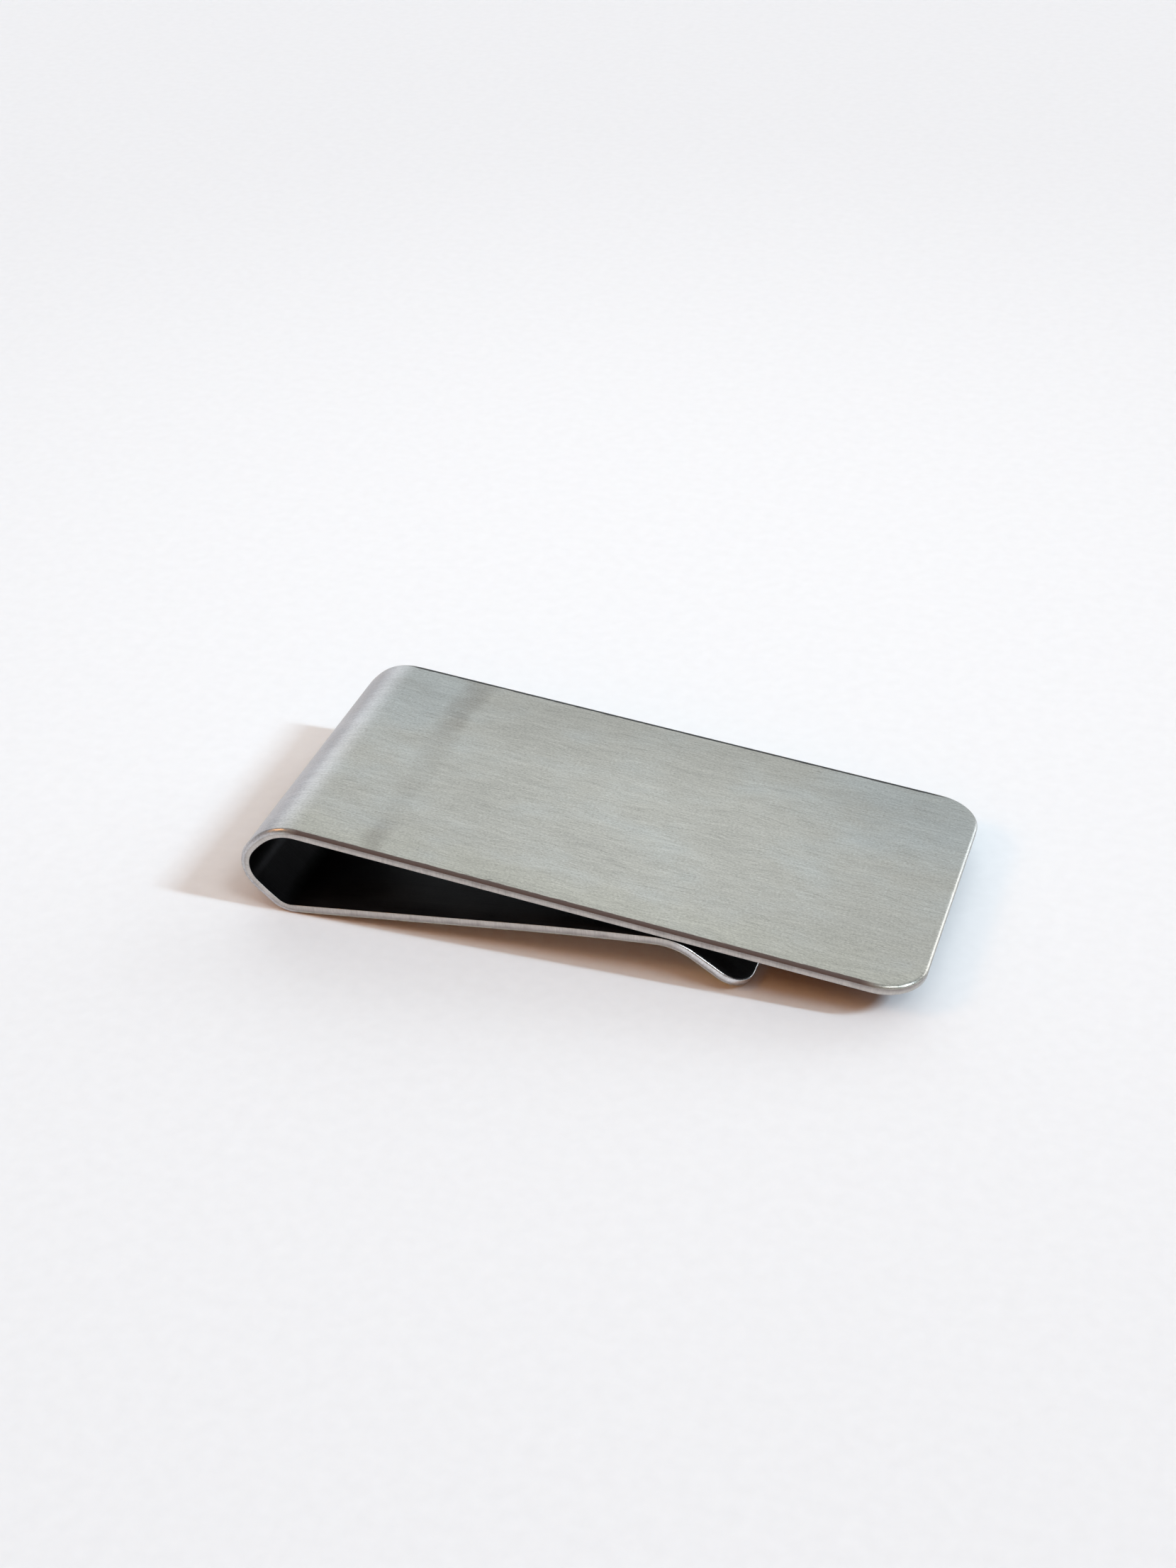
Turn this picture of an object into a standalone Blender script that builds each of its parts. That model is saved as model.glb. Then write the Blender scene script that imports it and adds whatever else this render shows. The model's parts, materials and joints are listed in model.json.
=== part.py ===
"""Spring money clip: one strip of stainless sheet bent into a face plate, a teardrop fold and a clamping leaf.

The strip is drawn in side view first, with x = 0 at the face plate's free end and z = 0 on its top, and
then laid down so that the fold's heel and the lip's edge both touch the table at z = 0. The strip's
working sections are separate objects, with hinges where the fold meets the plate and the leaf.
"""

import math

import bpy

# Strip
WIDTH = 0.0254
THICKNESS = 0.00075
EDGE_RADIUS = 0.00015
SECTION_GAP = 0.0003

# Side view, from the face plate's free end round the fold to the lip's edge: metres and degrees
PLATE_LENGTH = 0.0477
CROWN_RADIUS, CROWN_ANGLE = 0.00375, 43.8
SHOULDER_RADIUS, SHOULDER_ANGLE = 0.0067, 14.8
NOSE_RADIUS, NOSE_ANGLE = 0.00235, 81.2
FLANK_RADIUS, FLANK_ANGLE = 0.017, 7.5
HEEL_RADIUS, HEEL_ANGLE = 0.00185, 45.2
LEAF_STRAIGHT = 0.0191
LEAF_BOW_RADIUS, LEAF_BOW_ANGLE = 0.207, -2.7
CREST_RADIUS, CREST_ANGLE = 0.0048, -37.2
LIP_LENGTH = 0.0047

# Plan view
PLATE_CORNER_RADIUS = 0.0035
LIP_CORNER_RADIUS = 0.0024

# The fold and the leaf each keep this much straight strip beyond their last bend
TAIL = 0.0004
BEND_STEP = 4.0
CORNER_STEPS = 8

STEEL_COLOUR = (0.62, 0.625, 0.61, 1.0)


def clear_scene():
    for obj in list(bpy.data.objects):
        bpy.data.objects.remove(obj, do_unlink=True)


def new_collection(name):
    collection = bpy.data.collections.new(name)
    bpy.context.scene.collection.children.link(collection)
    return collection


def steel(name, roughness):
    material = bpy.data.materials.new(name)
    material.use_nodes = True
    shader = material.node_tree.nodes["Principled BSDF"]
    shader.inputs["Base Color"].default_value = STEEL_COLOUR
    shader.inputs["Metallic"].default_value = 1.0
    shader.inputs["Roughness"].default_value = roughness
    return material


def straight(station, length):
    """The station (x, z, heading) at the far end of a straight run."""
    x, z, heading = station
    return (x + length * math.cos(heading), z + length * math.sin(heading), heading)


def bend(station, radius, degrees):
    """Stations along a bend. Positive angles turn left, the way the fold turns."""
    x, z, heading = station
    side = math.copysign(radius, degrees)
    centre_x = x - side * math.sin(heading)
    centre_z = z + side * math.cos(heading)
    steps = math.ceil(abs(degrees) / BEND_STEP)
    stations = []
    for step in range(1, steps + 1):
        turned = heading + math.radians(degrees) * step / steps
        stations.append((centre_x + side * math.sin(turned), centre_z - side * math.cos(turned), turned))
    return stations


def bends(station, *turns):
    stations = [station]
    for radius, degrees in turns:
        stations += bend(stations[-1], radius, degrees)
    return stations


def offset(station, distance):
    """The point to the left of a station: the fold's inner side for a positive distance."""
    x, z, heading = station
    return (x - distance * math.sin(heading), z + distance * math.cos(heading))


def side_outline(stations):
    """The closed side view of a section, half a thickness each side of its stations."""
    half = THICKNESS / 2
    inner = [offset(station, half) for station in stations]
    outer = [offset(station, -half) for station in reversed(stations)]
    return inner + outer


def tab_outline(length, corner_radius):
    """Plan view of a flat end of the strip, from x = 0 to its free edge, whose two corners are rounded."""
    half = WIDTH / 2
    points = [(0.0, half), (0.0, -half)]
    centre_x = length - corner_radius
    centre_y = half - corner_radius
    for side, first in ((-1, -90.0), (1, 0.0)):
        for step in range(CORNER_STEPS + 1):
            angle = math.radians(first + 90.0 * step / CORNER_STEPS)
            x = centre_x + corner_radius * math.cos(angle)
            y = side * centre_y + corner_radius * math.sin(angle)
            points.append((x, y))
    return points


def section(name, outline, depth, roughness):
    """An object made of a flat outline, thickened by depth about its own plane, with its edges rounded."""
    curve = bpy.data.curves.new(name, "CURVE")
    curve.dimensions = "2D"
    curve.fill_mode = "BOTH"
    curve.extrude = depth / 2 - EDGE_RADIUS
    curve.bevel_depth = EDGE_RADIUS
    curve.bevel_resolution = 1
    curve.offset = -EDGE_RADIUS
    spline = curve.splines.new("POLY")
    spline.points.add(len(outline) - 1)
    for point, (u, v) in zip(spline.points, outline):
        point.co = (u, v, 0.0, 1.0)
    spline.use_cyclic_u = True
    obj = bpy.data.objects.new(name, curve)
    caps = obj.modifiers.new("caps", "WELD")
    caps.merge_threshold = 0.000001
    curve.materials.append(steel(name + "_steel", roughness))
    return obj


def side_section(name, stations, pivot, roughness):
    """A bent section, seen from the side, whose origin is the pivot."""
    outline = [(x - pivot[0], z - pivot[1]) for x, z in side_outline(stations)]
    obj = section(name, outline, WIDTH, roughness)
    obj.rotation_euler.x = math.radians(90)
    return obj


def resting_tilt(heel_centre, lip_end):
    """How far the clip leans on a table when the fold's heel and the lip's rounded edge both touch it."""
    edge = offset(straight(lip_end, -EDGE_RADIUS), EDGE_RADIUS - THICKNESS / 2)
    across = edge[0] - heel_centre[0]
    up = edge[1] - heel_centre[1]
    drop = HEEL_RADIUS + THICKNESS / 2 - EDGE_RADIUS
    return math.atan2(up, across) + math.asin(drop / math.hypot(across, up))


def laid_down(point, tilt):
    x, z = point
    return (x * math.cos(tilt) + z * math.sin(tilt), z * math.cos(tilt) - x * math.sin(tilt))


def main():
    clear_scene()
    parts = new_collection("money_clip")
    half_gap = SECTION_GAP / 2

    free_end = (0.0, -THICKNESS / 2, math.pi)
    crown_hinge = straight(free_end, PLATE_LENGTH - TAIL)
    fold_start = straight(crown_hinge, half_gap)
    fold = bends(
        straight(crown_hinge, TAIL),
        (CROWN_RADIUS, CROWN_ANGLE),
        (SHOULDER_RADIUS, SHOULDER_ANGLE),
        (NOSE_RADIUS, NOSE_ANGLE),
        (FLANK_RADIUS, FLANK_ANGLE),
        (HEEL_RADIUS, HEEL_ANGLE),
    )
    heel_hinge = straight(fold[-1], TAIL)
    fold_end = straight(heel_hinge, -half_gap)
    leaf_start = straight(heel_hinge, half_gap)
    leaf = bends(
        straight(fold[-1], LEAF_STRAIGHT),
        (LEAF_BOW_RADIUS, LEAF_BOW_ANGLE),
        (CREST_RADIUS, CREST_ANGLE),
    )
    leaf_end = straight(leaf[-1], TAIL - half_gap)
    lip_start = straight(leaf_end, SECTION_GAP)
    lip_end = straight(leaf[-1], LIP_LENGTH)

    heel_centre = offset(fold[-1], HEEL_RADIUS)
    tilt = resting_tilt(heel_centre, lip_end)
    floor = laid_down(heel_centre, tilt)[1] - HEEL_RADIUS - THICKNESS / 2
    nose_x = min(laid_down(offset(station, -THICKNESS / 2), tilt)[0] for station in fold)
    free_edge_x = laid_down((-EDGE_RADIUS, -EDGE_RADIUS), tilt)[0] + EDGE_RADIUS
    middle = (nose_x + free_edge_x) / 2

    def place(obj, pivot):
        x, z = laid_down(pivot, tilt)
        obj.location = (x - middle, 0.0, z - floor)
        obj.rotation_euler.y = tilt
        parts.objects.link(obj)

    crown_pivot = crown_hinge[:2]
    heel_pivot = heel_hinge[:2]
    face_plate = section(
        "face_plate",
        [(x + half_gap, y) for x, y in tab_outline(PLATE_LENGTH - TAIL - half_gap, PLATE_CORNER_RADIUS)],
        THICKNESS,
        0.36,
    )
    place(face_plate, crown_pivot)
    place(side_section("spring_fold", [fold_start] + fold + [fold_end], heel_pivot, 0.34), heel_pivot)
    place(side_section("clamp_leaf", [leaf_start] + leaf + [leaf_end], heel_pivot, 0.38), heel_pivot)

    lip = section("entry_lip", tab_outline(LIP_LENGTH - TAIL - half_gap, LIP_CORNER_RADIUS), THICKNESS, 0.38)
    place(lip, lip_start[:2])
    lip.rotation_euler.y = tilt - (lip_start[2] - 2 * math.pi)


main()
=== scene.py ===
import json
import math

import bmesh
import bpy
from mathutils import Matrix, Vector


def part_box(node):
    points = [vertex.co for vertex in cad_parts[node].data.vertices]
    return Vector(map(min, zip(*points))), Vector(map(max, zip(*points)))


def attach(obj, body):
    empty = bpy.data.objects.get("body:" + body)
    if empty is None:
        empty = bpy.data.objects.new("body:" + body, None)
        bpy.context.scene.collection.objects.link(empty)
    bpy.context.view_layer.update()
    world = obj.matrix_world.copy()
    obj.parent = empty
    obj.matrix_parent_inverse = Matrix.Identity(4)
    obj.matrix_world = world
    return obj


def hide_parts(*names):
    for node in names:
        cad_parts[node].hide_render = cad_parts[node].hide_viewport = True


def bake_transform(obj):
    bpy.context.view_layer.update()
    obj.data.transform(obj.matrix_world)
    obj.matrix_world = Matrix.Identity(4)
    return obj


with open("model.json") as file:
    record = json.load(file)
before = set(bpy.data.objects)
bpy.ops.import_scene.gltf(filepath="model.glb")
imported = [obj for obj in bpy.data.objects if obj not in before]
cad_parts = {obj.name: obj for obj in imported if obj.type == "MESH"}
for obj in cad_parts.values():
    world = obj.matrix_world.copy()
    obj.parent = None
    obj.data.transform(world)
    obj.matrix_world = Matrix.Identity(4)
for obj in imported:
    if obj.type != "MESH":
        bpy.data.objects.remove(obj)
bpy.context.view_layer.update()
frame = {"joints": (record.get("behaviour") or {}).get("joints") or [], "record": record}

# The strip as blanked, in metres
THICKNESS = 0.00075
PLATE_CORNER_RADIUS = 0.0035
LIP_CORNER_RADIUS = 0.0024
HALF_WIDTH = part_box("face_plate")[1].y

# The strip as bent, from the face plate's free end to the lip's edge: metres and degrees
PLATE_LENGTH = 0.0477
CROWN = (0.00375, 43.8)
SHOULDER = (0.0067, 14.8)
NOSE = (0.00235, 81.2)
FLANK = (0.017, 7.5)
HEEL = (0.00185, 45.2)
LEAF_STRAIGHT = 0.0191
LEAF_BOW = (0.207, -2.7)
CREST = (0.0048, -37.2)
LIP_LENGTH = 0.0047
TAIL = 0.0004  # from a bend's end to the hinge beside it

# The blanked edge, from the outer face to the inner face: the punch rolls the outer face over, shears a
# land below it, and breaks the rest away a little further in, down to a small rounding at the inner face
ROLL_OVER = (0.00030, 0.00022)  # width on the face, and depth
BENT_ROLL_DEPTH = 0.00038  # the same depth in the fold, where stretching narrows the outer side
DEEPENING = 0.001  # how far each side of the fold's ends the depth changes over
LAND_DEPTH = 0.00020
BREAK_SET_BACK = 0.00002
INNER_ROUNDING = 0.00003
LIP_ROUNDING = 0.00020  # the inner rounding where the lip is dressed so that notes slide in

# The finishes, in the order of each piece's material slots
OUTER_FACE, EDGE, INNER_FACE = range(3)

# Mesh steps
STRAIGHT_STEP = 0.0015
BEND_STEP = math.radians(1.25)
CORNER_STEPS = 20
ROLL_STEPS = 6
ROUNDING_STEPS = 4
COLUMNS = 16
SHORTEST_RUN = 1e-7
MERGE_DISTANCE = 2e-7
SHARP_ANGLE = math.radians(40)


def arc(bend):
    """The (length, curvature) of a bend of that radius and angle."""
    radius, degrees = bend
    turn = math.radians(degrees)
    return (abs(radius * turn), math.copysign(1 / radius, turn))


RUNS = [
    (PLATE_LENGTH, 0.0),
    arc(CROWN),
    arc(SHOULDER),
    arc(NOSE),
    arc(FLANK),
    arc(HEEL),
    (LEAF_STRAIGHT, 0.0),
    arc(LEAF_BOW),
    arc(CREST),
    (LIP_LENGTH, 0.0),
]
STRIP_LENGTH = sum(length for length, curvature in RUNS)
NOSE_START = sum(length for length, curvature in RUNS[:3])
NOSE_MIDDLE = NOSE_START + RUNS[3][0] / 2
HEEL_END = sum(length for length, curvature in RUNS[:6])
LIP_START = STRIP_LENGTH - LIP_LENGTH
CREST_START = LIP_START - RUNS[-2][0]
CROWN_SEAM = PLATE_LENGTH - TAIL
HEEL_SEAM = HEEL_END + TAIL
LIP_SEAM = LIP_START + TAIL


def joint_point(name):
    return Vector(next(joint for joint in frame["joints"] if joint["name"] == name)["pos_m"])


def advance(station, length, curvature):
    """The station (x, z, heading) that length further on along a run of that curvature."""
    x, z, heading = station
    turned = heading + curvature * length
    if curvature == 0:
        return (x + length * math.cos(heading), z + length * math.sin(heading), heading)
    along = (math.sin(turned) - math.sin(heading)) / curvature
    up = (math.cos(heading) - math.cos(turned)) / curvature
    return (x + along, z + up, turned)


def strip_start():
    """The station at the face plate's free end, set by the crown's hinge and the plate's lean."""
    normal = Vector(frame["record"]["mounts"][0]["axis"])
    hinge = joint_point("crown_flex")
    lean = math.atan2(normal.x, normal.z)
    back = advance((hinge.x, hinge.z, -lean), CROWN_SEAM, 0.0)
    return (back[0], back[1], math.pi - lean)


START = strip_start()


def station_at(distance):
    station = START
    for length, curvature in RUNS[:-1]:
        if distance <= length:
            return advance(station, distance, curvature)
        station = advance(station, length, curvature)
        distance -= length
    return advance(station, distance, 0.0)


def bent_axes(distance):
    """(place, direction along the strip, direction to the fold's inner side) at that distance."""
    x, z, heading = station_at(distance)
    along = Vector((math.cos(heading), 0.0, math.sin(heading)))
    inward = Vector((-math.sin(heading), 0.0, math.cos(heading)))
    return Vector((x, 0.0, z)), along, inward


def distances(first, last):
    """Distances along the strip at which a piece has a row, closer together in a bend."""
    rows = []
    run_start = 0.0
    for length, curvature in RUNS:
        low, high = max(first, run_start), min(last, run_start + length)
        run_start += length
        if high - low < SHORTEST_RUN:
            continue
        step = STRAIGHT_STEP if curvature == 0 else min(STRAIGHT_STEP, BEND_STEP / abs(curvature))
        count = math.ceil((high - low) / step)
        rows += [low + (high - low) * i / count for i in range(count)]
    return rows + [last]


def smooth_share(value, low, high):
    share = min(1.0, max(0.0, (value - low) / (high - low)))
    return share * share * (3 - 2 * share)


def edge_profile(depth, inner_rounding):
    """The edge from outer face to inner face, as (inset, offset, inset slope, offset slope)."""
    half = THICKNESS / 2
    width = ROLL_OVER[0]
    points = []
    for step in range(ROLL_STEPS + 1):
        turn = math.pi / 2 * step / ROLL_STEPS
        across, down = math.sin(turn), math.cos(turn)
        points.append((width * (1 - across), depth * (1 - down) - half, -width * down, depth * across))
    points.append((0.0, depth + LAND_DEPTH - half, 0.0, 1.0))
    for step in range(ROUNDING_STEPS + 1):
        turn = math.pi / 2 * step / ROUNDING_STEPS
        across, down = math.sin(turn), math.cos(turn)
        inset = BREAK_SET_BACK + inner_rounding * (1 - down)
        points.append((inset, half - inner_rounding * (1 - across), across, down))
    return points


PROFILE_POINTS = len(edge_profile(ROLL_OVER[1], INNER_ROUNDING))
PROFILE_FINISHES = [OUTER_FACE] * ROLL_STEPS + [EDGE] * (PROFILE_POINTS - 1 - ROLL_STEPS)
ROW_FINISHES = (
    PROFILE_FINISHES[::-1] + [OUTER_FACE] * COLUMNS + PROFILE_FINISHES + [INNER_FACE] * COLUMNS
)


def edge_of_row(distance, turn, corner_radius, direction, side):
    """The points (s, y, n) and tangents down one side's edge. turn is how far round a corner it is."""
    out = direction * math.sin(turn)
    across = side * math.cos(turn)
    centre_y = side * (HALF_WIDTH - corner_radius)
    dressing = smooth_share(distance, CREST_START, LIP_START)
    inner_rounding = INNER_ROUNDING + (LIP_ROUNDING - INNER_ROUNDING) * dressing
    bending = smooth_share(distance, PLATE_LENGTH - DEEPENING, PLATE_LENGTH + DEEPENING)
    bending *= smooth_share(-distance, -HEEL_END - DEEPENING, -HEEL_END + DEEPENING)
    depth = ROLL_OVER[1] + (BENT_ROLL_DEPTH - ROLL_OVER[1]) * bending
    edge = []
    for inset, offset, inset_slope, offset_slope in edge_profile(depth, inner_rounding):
        reach = corner_radius - inset
        point = Vector((distance + out * reach, centre_y + across * reach, offset))
        tangent = Vector((-out * inset_slope, -across * inset_slope, offset_slope))
        edge.append((point, tangent))
    return edge


def between(a, b):
    """The points across a face from one edge to the other, ends left out."""
    across = Vector((0.0, 1.0, 0.0))
    return [(a[0].lerp(b[0], column / COLUMNS), across) for column in range(1, COLUMNS)]


def row_of(distance, turn=0.0, corner_radius=0.0, direction=0):
    """One row of points round the sheet, anticlockwise from its left edge's inner side."""
    left = edge_of_row(distance, turn, corner_radius, direction, -1)
    right = edge_of_row(distance, turn, corner_radius, direction, 1)
    return left[::-1] + between(left[0], right[0]) + right + between(right[-1], left[-1])


def rows_of(first, last):
    """A piece's rows, and whether each of its ends is a rounded end of the strip."""
    plate_end, lip_end = first == 0, last == STRIP_LENGTH
    start = PLATE_CORNER_RADIUS if plate_end else first
    end = STRIP_LENGTH - LIP_CORNER_RADIUS if lip_end else last
    turns = [math.pi / 2 * step / CORNER_STEPS for step in range(1, CORNER_STEPS + 1)]
    rows = [row_of(distance) for distance in distances(start, end)]
    if plate_end:
        rows = [row_of(start, turn, PLATE_CORNER_RADIUS, -1) for turn in turns[::-1]] + rows
    if lip_end:
        rows += [row_of(end, turn, LIP_CORNER_RADIUS, 1) for turn in turns]
    return rows, plate_end, lip_end


def straight_end(row):
    """The faces across a rounded end, between the two corners, as (four points, finish)."""
    left = row[:PROFILE_POINTS][::-1]
    right = row[PROFILE_POINTS + COLUMNS - 1:][:PROFILE_POINTS]
    lines = []
    for (a, tangent), (b, _) in zip(left, right):
        lines.append([(a.lerp(b, column / COLUMNS), tangent) for column in range(COLUMNS + 1)])
    for finish, upper, lower in zip(PROFILE_FINISHES, lines, lines[1:]):
        for i in range(COLUMNS):
            yield (upper[i], upper[i + 1], lower[i + 1], lower[i]), finish


def sheet_piece(name, first, last):
    """A length of the strip as one closed mesh, rounded off where the strip itself ends."""
    rows, plate_end, lip_end = rows_of(first, last)
    mesh = bmesh.new()
    strip = mesh.verts.layers.float_vector.new("strip")
    across = mesh.verts.layers.float_vector.new("across")

    def vertex(blank):
        point, tangent = blank
        place, along, inward = bent_axes(point.x)
        made = mesh.verts.new(place + Vector((0.0, point.y, 0.0)) + inward * point.z)
        made[strip] = point * 1000
        bent = along * tangent.x + Vector((0.0, tangent.y, 0.0)) + inward * tangent.z
        made[across] = bent.normalized()
        return made

    def face(corners, finish):
        mesh.faces.new(corners).material_index = finish

    grid = [[vertex(blank) for blank in row] for row in rows]
    for near, far in zip(grid, grid[1:]):
        for i, finish in enumerate(ROW_FINISHES):
            j = (i + 1) % len(ROW_FINISHES)
            face((near[i], near[j], far[j], far[i]), finish)
    for row, rounded in ((rows[0], plate_end), (rows[-1], lip_end)):
        if rounded:
            for corners, finish in straight_end(row):
                face([vertex(blank) for blank in corners], finish)
        else:
            face([vertex(blank) for blank in row], EDGE)
    bmesh.ops.remove_doubles(mesh, verts=mesh.verts, dist=MERGE_DISTANCE)
    bmesh.ops.recalc_face_normals(mesh, faces=mesh.faces)
    data = bpy.data.meshes.new(name)
    mesh.to_mesh(data)
    mesh.free()
    data.shade_smooth()
    data.set_sharp_from_angle(angle=SHARP_ANGLE)
    piece = bpy.data.objects.new(name, data)
    bpy.context.scene.collection.objects.link(piece)
    return piece


plate = sheet_piece("face_plate_sheet", 0.0, CROWN_SEAM)
crown = sheet_piece("crown_bend", CROWN_SEAM, NOSE_MIDDLE)
heel = sheet_piece("heel_bend", NOSE_MIDDLE, HEEL_SEAM)
leaf = sheet_piece("clamp_leaf_sheet", HEEL_SEAM, LIP_SEAM)
lip = sheet_piece("entry_lip_sheet", LIP_SEAM, STRIP_LENGTH)


class Nodes:
    """A shader's node tree, with one short method for each kind of node used here."""

    def __init__(self, tree):
        self.tree = tree

    def put(self, value, socket):
        if isinstance(value, bpy.types.NodeSocket):
            self.tree.links.new(value, socket)
        elif socket.type == "RGBA":
            socket.default_value = (*value, 1.0)
        else:
            socket.default_value = value

    def node(self, kind, *values):
        made = self.tree.nodes.new(kind)
        for value, socket in zip(values, made.inputs):
            self.put(value, socket)
        return made

    def attribute(self, name):
        made = self.node("ShaderNodeAttribute")
        made.attribute_name = name
        return made.outputs["Vector"]

    def math(self, operation, *values):
        made = self.node("ShaderNodeMath", *values)
        made.operation = operation
        return made.outputs[0]

    def vector(self, operation, a, b):
        made = self.node("ShaderNodeVectorMath", a, b)
        made.operation = operation
        return made

    def scaled(self, vector, scale):
        return self.vector("MULTIPLY", vector, scale).outputs[0]

    def parts(self, vector):
        return self.node("ShaderNodeSeparateXYZ", vector).outputs

    def joined(self, x, y, z):
        return self.node("ShaderNodeCombineXYZ", x, y, z).outputs[0]

    def noise(self, vector, scale, detail=3.0, roughness=0.5):
        """Noise about 0, mostly within 0.25 of it, with that many features a millimetre each way."""
        made = self.node("ShaderNodeTexNoise", self.scaled(vector, scale))
        made.inputs["Scale"].default_value = 1.0
        made.inputs["Detail"].default_value = detail
        made.inputs["Roughness"].default_value = roughness
        return self.math("SUBTRACT", made.outputs["Fac"], 0.5)

    def specks(self, vector, scale, size, share):
        """A mask of small dots, in a share of the cells of a lattice, that many cells a millimetre."""
        cells = self.node("ShaderNodeTexVoronoi", self.scaled(vector, scale))
        cells.inputs["Scale"].default_value = 1.0
        dot = self.band(cells.outputs["Distance"], size, size * 0.5)
        chosen = self.math("LESS_THAN", self.parts(cells.outputs["Color"])[0], share)
        return self.math("MULTIPLY", dot, chosen)

    def band(self, value, low, high, start=0.0, end=1.0):
        made = self.node("ShaderNodeMapRange", value, low, high, start, end)
        made.interpolation_type = "SMOOTHSTEP"
        return made.outputs[0]

    def mix(self, factor, a, b):
        made = self.node("ShaderNodeMix")
        made.data_type = "RGBA"
        self.put(factor, made.inputs["Factor"])
        self.put(a, made.inputs[6])
        self.put(b, made.inputs[7])
        return made.outputs[2]

    def shade(self, colour, tone):
        made = self.vector("SCALE", colour, (0.0, 0.0, 0.0))
        self.put(tone, made.inputs["Scale"])
        return made.outputs[0]

    def tone(self, *parts):
        """1 and each (noise, strength) added up."""
        total = 1.0
        for value, strength in parts:
            total = self.math("MULTIPLY_ADD", value, strength, total)
        return total

    def bump(self, height, distance):
        made = self.node("ShaderNodeBump")
        made.inputs["Distance"].default_value = distance
        self.put(height, made.inputs["Height"])
        return made.outputs["Normal"]


def steel(name, anisotropic):
    """A metal material with its anisotropy across the sheet, its node helper and its shader."""
    material = bpy.data.materials.new(name)
    material.use_nodes = True
    nodes = Nodes(material.node_tree)
    shader = material.node_tree.nodes["Principled BSDF"]
    shader.inputs["Metallic"].default_value = 1.0
    shader.inputs["Anisotropic"].default_value = anisotropic
    nodes.put(nodes.attribute("across"), shader.inputs["Tangent"])
    return material, nodes, shader


MM = 1000.0
GREY = (0.441, 0.430, 0.394)
COOL = (0.420, 0.434, 0.424)  # in clouds, and towards both ends of the far side
WARM = (0.452, 0.440, 0.392)  # along the near border
PAINTED_BEND_SHEEN = (0.560, 0.550, 0.560)  # the face where the fold has stretched it, paler there as painted sheen for the lit table it reflects
DIE_MARK_PAINTED_SHADE = (0.845, 0.835, 0.830)  # what the die's mark leaves of the face's colour: painted shade, for the darker reflection where the plate's angle changes there
SPECK = (0.10, 0.095, 0.09)
# The plate's rolled long edges, on the near and the far side: dark and little metallic, painted shade
# for the dim room they reflect
NEAR_ROLL_PAINTED_SHADE = (0.105, 0.082, 0.075)
FAR_ROLL_PAINTED_SHADE = (0.020, 0.021, 0.022)
DULL_METALLIC = 0.15
DIE_MARK = (PLATE_LENGTH - 0.0058, 0.0009)  # where the bending die bore on the plate, and half its width
DIE_MARK_SOFTNESS = 0.0007

# Where each look begins and where it is full, in mm along the strip, or across it from its middle line
COOL_BY_CROWN = (41.0, 45.0)
COOL_BY_FREE_END = (17.0, 6.0)
COOL_SIDE = (-3.0, 9.0)
WARM_BORDER = (-7.5, -12.0)
CROWN_STRETCH_AND_SHEEN = ((PLATE_LENGTH - 0.0005) * MM, (PLATE_LENGTH + 0.0025) * MM)
HEEL_STRETCH_AND_SHEEN = ((HEEL_END + 0.0008) * MM, HEEL_END * MM)
SHADED_ROLL_PAST_CORNER = (2.2, 4.4)
SHADED_ROLL_BY_CROWN = ((PLATE_LENGTH + 0.0012) * MM, (PLATE_LENGTH - 0.0004) * MM)

# Changes across the strip, as two distances from its middle line in mm, and the strength at each
MARK_FAR_SIDE = (1.0, 7.0, 0.35, 1.0)
MARK_NEAR_SIDE = (-7.5, -10.5, 0.0, 0.7)
# painted shade: the face darker towards the far side
PAINTED_SHADE_FAR_SIDE = (1.0, 12.4, 1.0, 0.88)

# A painted highlight: the plate's brightest place, and its fading, as two distances from that place and
# the strength at each
PAINTED_HIGHLIGHT_MIDDLE = (22.0, -1.5, 0.0)
PAINTED_HIGHLIGHT_FADING = (3.0, 22.0, 1.0, 0.90)

# How far in from a long edge the rolled edge's painted shade begins and is full, and how much wider it
# is on the far side
SHADED_ROLL_REACH = (0.32, 0.23)
FAR_ROLL_EXTRA = 0.13

# How deep each finish's relief is, in metres
BRUSHING_DEPTH = 0.000010
BREAK_ROUGHNESS_DEPTH = 0.000014
DRAW_LINE_DEPTH = 0.000008


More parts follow.
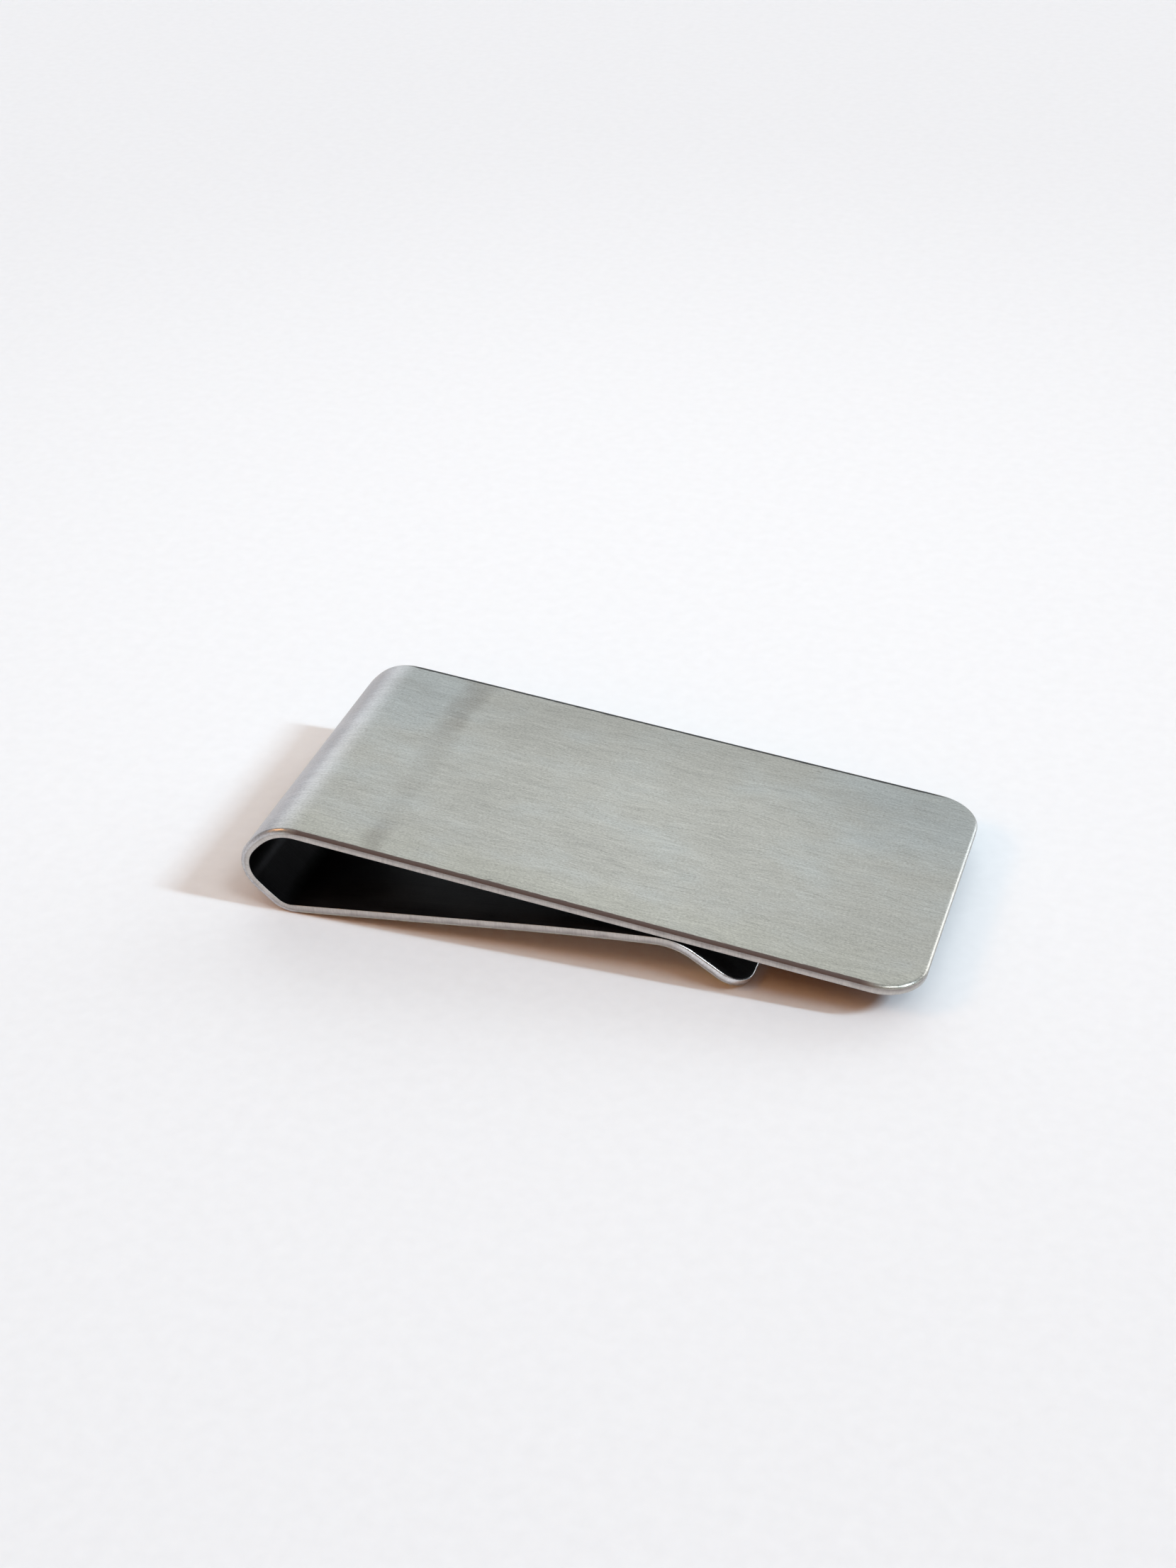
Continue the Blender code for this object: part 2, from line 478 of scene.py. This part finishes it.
def outer_face():
    """Satin steel brushed lengthwise, with painted shade on a band by the bending die and on the long
    edges.
    """
    material, nodes, shader = steel("brushed_face", 0.55)
    strip = nodes.attribute("strip")
    along, side, depth = nodes.parts(strip)
    sway = nodes.noise(strip, (0.16, 0.45, 0.45), 2.0)
    lines = nodes.joined(along, nodes.math("MULTIPLY_ADD", sway, 1.6, side), depth)
    dashes = nodes.noise(lines, (0.9, 6.5, 6.5), 3.0, 0.6)
    hairs = nodes.noise(lines, (0.35, 14.0, 14.0), 2.0, 0.6)
    streaks = nodes.noise(lines, (0.05, 1.3, 1.3), 3.0, 0.55)
    grain = nodes.noise(strip, (5.0, 8.0, 8.0), 2.0, 0.7)
    clouds = nodes.noise(strip, (0.13, 0.20, 0.20), 3.0, 0.55)
    bend = nodes.band(along, *CROWN_STRETCH_AND_SHEEN)
    bend = nodes.math("MULTIPLY", bend, nodes.band(along, *HEEL_STRETCH_AND_SHEEN))

    ends = nodes.math("ADD", nodes.band(along, *COOL_BY_CROWN), nodes.band(along, *COOL_BY_FREE_END))
    cooler = nodes.math("MULTIPLY", ends, nodes.band(side, *COOL_SIDE))
    cooler = nodes.math("MULTIPLY_ADD", clouds, 2.4, cooler)
    cooler = nodes.math("MULTIPLY_ADD", grain, 1.2, cooler)
    colour = nodes.mix(cooler, GREY, COOL)
    near_border = nodes.band(nodes.math("MULTIPLY_ADD", clouds, 12.0, side), *WARM_BORDER)
    colour = nodes.mix(near_border, colour, WARM)
    # painted sheen: the fold's bends paler, for the lit table their steel reflects
    colour = nodes.mix(bend, colour, PAINTED_BEND_SHEEN)
    mark_place, mark_half = DIE_MARK
    wander = nodes.math("MULTIPLY_ADD", nodes.noise(strip, (0.5, 0.35, 0.35), 4.0, 0.6), 2.4, along)
    off_mark = nodes.math("ABSOLUTE", nodes.math("SUBTRACT", wander, mark_place * MM))
    mark_edge = ((mark_half + DIE_MARK_SOFTNESS) * MM, (mark_half - DIE_MARK_SOFTNESS) * MM)
    pressed = nodes.band(side, *MARK_FAR_SIDE)
    pressed = nodes.math("ADD", pressed, nodes.band(side, *MARK_NEAR_SIDE))
    mark = nodes.math("MULTIPLY", nodes.band(off_mark, *mark_edge), pressed)
    # painted shade: the face's colour darkened along the die's mark
    colour = nodes.scaled(colour, nodes.mix(mark, (1.0, 1.0, 1.0), DIE_MARK_PAINTED_SHADE))
    tone = nodes.tone((dashes, 0.55), (hairs, 0.60), (streaks, 0.16), (grain, 0.95), (clouds, 0.28))
    # painted highlight in the plate's middle, fading outwards, and painted shade towards the far side
    on_face = nodes.joined(along, side, 0.0)
    from_middle = nodes.vector("DISTANCE", on_face, PAINTED_HIGHLIGHT_MIDDLE).outputs["Value"]
    painted_falloff = nodes.band(from_middle, *PAINTED_HIGHLIGHT_FADING)
    painted_falloff = nodes.math("MULTIPLY", painted_falloff, nodes.band(side, *PAINTED_SHADE_FAR_SIDE))
    colour = nodes.shade(colour, nodes.math("MULTIPLY", tone, painted_falloff))
    dots = nodes.specks(strip, (0.22, 0.22, 0.22), 0.016, 0.6)
    scratches = nodes.specks(lines, (0.10, 0.55, 0.55), 0.035, 0.35)
    flaws = nodes.math("MAXIMUM", dots, nodes.math("MULTIPLY", scratches, 0.55))
    colour = nodes.mix(flaws, colour, SPECK)
    to_edge = nodes.math("SUBTRACT", HALF_WIDTH * MM, nodes.math("ABSOLUTE", side))
    to_edge = nodes.math("ADD", to_edge, nodes.band(side, 0.0, 1.0, 0.0, -FAR_ROLL_EXTRA))
    shaded_roll = nodes.band(nodes.math("MULTIPLY_ADD", dashes, 0.14, to_edge), *SHADED_ROLL_REACH)
    shaded_roll = nodes.math("MULTIPLY", shaded_roll, nodes.band(along, *SHADED_ROLL_PAST_CORNER))
    shaded_roll = nodes.math("MULTIPLY", shaded_roll, nodes.band(along, *SHADED_ROLL_BY_CROWN))
    # painted shade on the rolled long edges, dark brown on the near side and nearly black on the far
    # side
    roll_shade_colour = nodes.mix(nodes.band(side, -1.0, 1.0), NEAR_ROLL_PAINTED_SHADE, FAR_ROLL_PAINTED_SHADE)
    nodes.put(nodes.mix(shaded_roll, colour, roll_shade_colour), shader.inputs["Base Color"])
    nodes.put(nodes.band(shaded_roll, 1.0, 0.0, DULL_METALLIC, 1.0), shader.inputs["Metallic"])
    shader.inputs["Specular IOR Level"].default_value = 0.1

    rough = nodes.math("MULTIPLY_ADD", bend, 0.05, nodes.math("MULTIPLY_ADD", mark, 0.06, 0.30))
    rough = nodes.math("MULTIPLY_ADD", dashes, 0.22, rough)
    nodes.put(rough, shader.inputs["Roughness"])
    creases = nodes.noise(strip, (6.0, 0.7, 0.7), 3.0, 0.6)
    relief = nodes.math("MULTIPLY_ADD", nodes.math("MULTIPLY", creases, bend), 1.2, dashes)
    relief = nodes.math("MULTIPLY_ADD", hairs, 0.6, relief)
    nodes.put(nodes.bump(relief, BRUSHING_DEPTH), shader.inputs["Normal"])
    return material


LAND = (0.33, 0.30, 0.285)
BREAK = (0.54, 0.515, 0.49)
DRESSED_PAINTED_HIGHLIGHT = (0.72, 0.72, 0.73)  # the break where the lip has been rubbed smooth, paler there as a painted highlight
DRESSING = ((CREST_START + 0.0008) * MM, (LIP_START - 0.0002) * MM)
LAND_END = (ROLL_OVER[1] + LAND_DEPTH - THICKNESS / 2) * MM
LAND_END_SOFTNESS = 0.16


def blanked_edge():
    """The sheared edge: a darker land under the rolled face, then a paler break, smooth by the lip and
    paler there as painted highlight.
    """
    material, nodes, shader = steel("blanked_edge", 0.2)
    strip = nodes.attribute("strip")
    along, _, depth = nodes.parts(strip)
    marks = nodes.noise(strip, (7.0, 7.0, 0.9), 3.0, 0.65)
    patches = nodes.noise(strip, (0.8, 0.8, 0.8), 3.0, 0.6)
    wandering = nodes.math("MULTIPLY_ADD", patches, 0.35, depth)
    broken = nodes.band(wandering, LAND_END - LAND_END_SOFTNESS, LAND_END + LAND_END_SOFTNESS)
    dressed = nodes.band(along, *DRESSING)
    colour = nodes.mix(broken, LAND, BREAK)
    colour = nodes.mix(nodes.math("MULTIPLY", dressed, broken), colour, DRESSED_PAINTED_HIGHLIGHT)
    tone = nodes.tone((marks, 0.7), (patches, 0.35))
    nodes.put(nodes.shade(colour, tone), shader.inputs["Base Color"])
    rough = nodes.math("MULTIPLY_ADD", broken, 0.10, nodes.math("MULTIPLY_ADD", marks, 0.3, 0.34))
    nodes.put(nodes.math("MULTIPLY_ADD", dressed, -0.24, rough), shader.inputs["Roughness"])
    nodes.put(nodes.bump(marks, BREAK_ROUGHNESS_DEPTH), shader.inputs["Normal"])
    return material


# painted shade: the strip's inner side coloured near black for the shade inside the clip
INNER_PAINTED_SHADE = (0.042, 0.042, 0.046)
FOLD_PAINTED_SHADE = (0.014, 0.014, 0.016)  # deeper painted shade inside the fold, between the two places below
FOLD_FROM = ((PLATE_LENGTH - 0.003) * MM, (PLATE_LENGTH + 0.001) * MM)
FOLD_TO = ((HEEL_END + 0.003) * MM, (HEEL_END - 0.001) * MM)


def inner_face():
    """The strip's inner side, coloured dark as painted shade and darkest inside the fold, with faint
    lengthwise draw lines.
    """
    material, nodes, shader = steel("dark_inner_face", 0.4)
    strip = nodes.attribute("strip")
    lines = nodes.noise(strip, (0.4, 9.0, 9.0), 3.0, 0.6)
    grain = nodes.noise(strip, (6.0, 8.0, 8.0), 2.0, 0.7)
    clouds = nodes.noise(strip, (0.25, 0.35, 0.35), 3.0)
    tone = nodes.tone((lines, 0.7), (grain, 0.6), (clouds, 0.8))
    along = nodes.parts(strip)[0]
    fold = nodes.math("MULTIPLY", nodes.band(along, *FOLD_FROM), nodes.band(along, *FOLD_TO))
    nodes.put(nodes.shade(nodes.mix(fold, INNER_PAINTED_SHADE, FOLD_PAINTED_SHADE), tone), shader.inputs["Base Color"])
    rough = nodes.math("MULTIPLY_ADD", clouds, 0.2, nodes.math("MULTIPLY_ADD", lines, 0.2, 0.42))
    nodes.put(rough, shader.inputs["Roughness"])
    nodes.put(nodes.bump(lines, DRAW_LINE_DEPTH), shader.inputs["Normal"])
    return material


finishes = (outer_face(), blanked_edge(), inner_face())
for piece, body, stands_for in (
    (plate, "plate", "face_plate"),
    (crown, None, "spring_fold"),
    (heel, None, "spring_fold"),
    (leaf, "leaf", "clamp_leaf"),
    (lip, "leaf", "entry_lip"),
):
    for finish in finishes:
        piece.data.materials.append(finish)
    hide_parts(stands_for)
    if body:
        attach(piece, body)

nose_point = bent_axes(NOSE_MIDDLE)[0]
joint_point("crown_flex")
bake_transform(crown)
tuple(nose_point)
joint_point("heel_flex")
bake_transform(heel)
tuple(nose_point)


TABLE_SIZE = 4.0
TABLE_WHITE = (0.803, 0.848, 0.880)
# painted light: the table paler in a pool round the object
TABLE_PAINTED_POOL_WHITE = (0.882, 0.934, 0.966)
PAINTED_LIGHT_POOL = (-0.01, 0.045, 0.0)
PAINTED_POOL_REACH = (0.14, 0.01)  # the distances from it at which the painted pool of light begins and is full


def table():
    """A plain white table top, wide enough for every view, with a painted pool of light round the
    object.
    """
    bpy.ops.mesh.primitive_plane_add(size=TABLE_SIZE)
    top = bpy.context.object
    top.name = "table_top"
    material = bpy.data.materials.new("table_white")
    material.use_nodes = True
    nodes = Nodes(material.node_tree)
    shader = material.node_tree.nodes["Principled BSDF"]
    place = nodes.node("ShaderNodeTexCoord").outputs["Object"]
    from_pool = nodes.vector("DISTANCE", place, PAINTED_LIGHT_POOL).outputs["Value"]
    colour = nodes.mix(nodes.band(from_pool, *PAINTED_POOL_REACH), TABLE_WHITE, TABLE_PAINTED_POOL_WHITE)
    fibres = nodes.tone((nodes.noise(place, (900.0, 900.0, 900.0), 2.0), 0.06))
    nodes.put(nodes.shade(colour, fibres), shader.inputs["Base Color"])
    shader.inputs["Roughness"].default_value = 0.75
    shader.inputs["Specular IOR Level"].default_value = 0.2
    top.data.materials.append(material)


KEY_ELEVATIONS = (35.0, 38.5, 42.0)  # degrees
KEY_WIDTH = 3.8  # degrees
KEY_ENERGY = 0.545
KEY_COLOUR = (0.81, 1.0, 1.14)


def key_light():
    """Cool daylight from a tall, narrow window off the clip's open end, as a column of soft suns."""
    for elevation in KEY_ELEVATIONS:
        light = bpy.data.lights.new("window", "SUN")
        light.angle = math.radians(KEY_WIDTH)
        light.energy = KEY_ENERGY
        light.color = KEY_COLOUR
        lamp = bpy.data.objects.new("window", light)
        lamp.rotation_euler = (0.0, math.radians(90.0 - elevation), 0.0)
        bpy.context.scene.collection.objects.link(lamp)


# The room's light from in front of the table and from behind it, first as it falls on the table and then
# as the steel reflects it
NEAR_SIDE = (0.50, 0.13, 0.0)
FAR_SIDE = (0.16, 0.14, 0.12)
NEAR_REFLECTED = (0.38, 0.33, 0.30)
FAR_REFLECTED = (0.34, 0.35, 0.36)
SIDES_MEET = (-0.75, -0.05)
BACKDROP = (0.93, 0.94, 0.95)  # what shows past the table top
# Patches of light in the room, as (towards, outer and inner angle in degrees, light): the ceiling, two
# parts of the pale wall behind, a window to the right of them, an orange lamp and a bright white one
PATCHES = (
    ((0.15, -0.20, 0.97), 42.0, 15.0, (0.55, 0.61, 0.64)),
    ((-0.22, 0.80, 0.50), 40.0, 20.0, (0.78, 0.83, 0.84)),
    ((-0.60, 0.79, 0.12), 30.0, 10.0, (0.50, 0.52, 0.56)),
    ((0.56, 0.78, 0.27), 22.0, 12.0, (2.6, 2.7, 2.8)),
    ((-0.66, -0.42, 0.62), 9.0, 4.0, (10.0, 5.0, 2.0)),
    ((0.50, -0.27, 0.82), 13.0, 6.0, (6.0, 6.4, 6.6)),
)


def surroundings():
    """A dim room, warm in front of the table, with windows and lamps as brighter patches.

    Reflections see a more neutral room than the table does, and the camera a plain pale backdrop.
    """
    world = bpy.data.worlds.new("room")
    world.use_nodes = True
    nodes = Nodes(world.node_tree)
    direction = nodes.node("ShaderNodeTexCoord").outputs["Generated"]
    path = nodes.node("ShaderNodeLightPath").outputs
    near = nodes.mix(path["Is Glossy Ray"], NEAR_SIDE, NEAR_REFLECTED)
    far = nodes.mix(path["Is Glossy Ray"], FAR_SIDE, FAR_REFLECTED)
    colour = nodes.mix(nodes.band(nodes.parts(direction)[1], *SIDES_MEET), near, far)
    for towards, outer, inner, light in PATCHES:
        facing = nodes.vector("DOT_PRODUCT", direction, Vector(towards).normalized()).outputs["Value"]
        patch = nodes.band(facing, math.cos(math.radians(outer)), math.cos(math.radians(inner)))
        colour = nodes.vector("ADD", colour, nodes.shade(light, patch)).outputs[0]
    colour = nodes.mix(path["Is Camera Ray"], colour, BACKDROP)
    nodes.put(colour, world.node_tree.nodes["Background"].inputs["Color"])
    bpy.context.scene.world = world


# The camera fitted to the photograph's view, in metres and degrees, with its lens in millimetres
CAMERA_TARGET = Vector((-0.00613, 0.01088, 0.0))
CAMERA_DISTANCE = 0.20214
CAMERA_AZIMUTH = 18.66
CAMERA_ELEVATION = 33.27
CAMERA_ROLL = -1.04
CAMERA_LENS = 56.55


def camera():
    data = bpy.data.cameras.new("camera")
    data.lens = CAMERA_LENS
    data.clip_start = 0.005
    data.clip_end = 10.0
    obj = bpy.data.objects.new("camera", data)
    turn = Matrix.Rotation(math.radians(CAMERA_AZIMUTH), 4, "Z")
    pitch = Matrix.Rotation(math.radians(90 - CAMERA_ELEVATION), 4, "X")
    roll = Matrix.Rotation(math.radians(CAMERA_ROLL), 4, "Z")
    back = Matrix.Translation((0.0, 0.0, CAMERA_DISTANCE))
    obj.matrix_world = Matrix.Translation(CAMERA_TARGET) @ turn @ pitch @ roll @ back
    bpy.context.scene.collection.objects.link(obj)
    bpy.context.scene.camera = obj


table()
key_light()
surroundings()
camera()
bpy.context.scene.view_settings.view_transform = "Standard"
